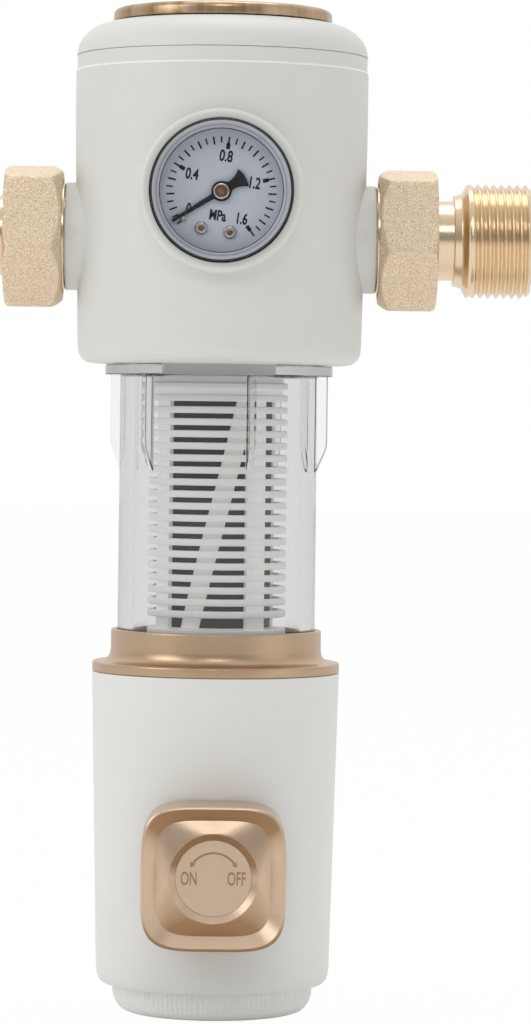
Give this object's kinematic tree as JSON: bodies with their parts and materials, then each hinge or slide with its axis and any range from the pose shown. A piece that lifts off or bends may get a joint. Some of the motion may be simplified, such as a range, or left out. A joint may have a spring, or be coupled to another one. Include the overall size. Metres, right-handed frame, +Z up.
{
  "type": "sediment filter",
  "caption": "Whole-house sediment pre-filter: white head with gauge, clear bowl over a ringed cage and mesh drum, and a drain valve with a square knob.",
  "frame": {"origin": "where the pipe axis crosses the filter's vertical axis", "axes": "+Z up, +X from the inlet to the outlet along the pipe, the gauge and the drain knob face -Y"},
  "size_m": [0.1828, 0.097, 0.293],
  "materials": {
    "white_plastic": "satin white moulded",
    "milky_plastic": "satin milky white moulded",
    "gold_finish": "anodised champagne gold, satin",
    "nut_brass": "sand-blasted, pinkish",
    "brass": "machined",
    "steel": "machined",
    "steel_mesh": "woven, dark",
    "clear_plastic": "clear moulded",
    "black_paint": "gloss black",
    "dial_print": "pale blue grey, printed",
    "rubber": "black",
    "valve_seat": "white, slippery"
  },
  "bodies": {
    "head": {"front_shell": "white_plastic", "rear_shell": "white_plastic", "shell_screw_1": "steel", "shell_screw_2": "steel", "shell_screw_3": "steel", "shell_screw_4": "steel", "head_cap": "white_plastic", "manifold": "brass", "spindle_gland": "brass", "spindle_seal": "rubber", "gauge_bezel": "black_paint", "gauge_lens": "clear_plastic", "gauge_case": "black_paint", "gauge_dial": "dial_print", "dial_screw_left": "steel", "dial_screw_right": "steel", "gauge_movement": "brass", "gauge_stem": "brass", "gauge_seal": "rubber", "bourdon_tube": "brass", "inlet_gasket": "rubber", "outlet_gasket": "rubber", "inlet_tail": "brass", "outlet_tail": "brass", "cage": "milky_plastic", "wiper": "white_plastic", "foot_bush": "rubber", "bowl_seal": "rubber"},
    "scraper_drum": {"top_wheel": "gold_finish", "wheel_screw": "steel", "spindle": "steel", "drum_frame": "milky_plastic", "mesh_tube": "steel_mesh"},
    "needle": {"gauge_needle": "black_paint", "needle_hub": "brass"},
    "inlet_union_nut": {"inlet_nut": "nut_brass"},
    "outlet_union_nut": {"outlet_nut": "nut_brass"},
    "bowl_assembly": {"bowl": "clear_plastic", "gold_ring": "gold_finish", "lower_housing": "white_plastic", "valve_body": "brass", "upper_seat": "valve_seat", "lower_seat": "valve_seat", "valve_seal": "rubber", "valve_gland": "brass", "valve_tail": "brass"},
    "drain_knob": {"knob": "gold_finish", "knob_face": "gold_finish", "knob_screw": "steel", "valve_stem": "steel", "valve_ball": "steel"},
    "foot": {"foot_cap": "white_plastic"}
  },
  "joints": [
    {"name": "scraper_turn", "type": "hinge", "parent": "head", "child": "scraper_drum", "pos_m": [0, 0, 0], "axis": [0, 0, 1], "continuous": true},
    {"name": "needle_swing", "type": "hinge", "parent": "head", "child": "needle", "pos_m": [0, -0.047, 0.0116], "axis": [0, 1, 0], "range_deg": [0, 270], "stiffness_Nm_per_rad": 0.0002},
    {"name": "inlet_nut_turn", "type": "hinge", "parent": "head", "child": "inlet_union_nut", "pos_m": [0, 0, 0], "axis": [-1, 0, 0], "continuous": true},
    {"name": "outlet_nut_turn", "type": "hinge", "parent": "head", "child": "outlet_union_nut", "pos_m": [0, 0, 0], "axis": [1, 0, 0], "continuous": true},
    {"name": "bowl_unscrew", "type": "hinge", "parent": "head", "child": "bowl_assembly", "pos_m": [0, 0, 0], "axis": [0, 0, -1], "range_deg": [0, 900]},
    {"name": "drain_turn", "type": "hinge", "parent": "bowl_assembly", "child": "drain_knob", "pos_m": [0, 0, -0.182], "axis": [0, -1, 0], "range_deg": [0, 90]},
    {"name": "foot_unscrew", "type": "hinge", "parent": "bowl_assembly", "child": "foot", "pos_m": [0, 0, 0], "axis": [0, 0, -1], "range_deg": [0, 810]}
  ]
}
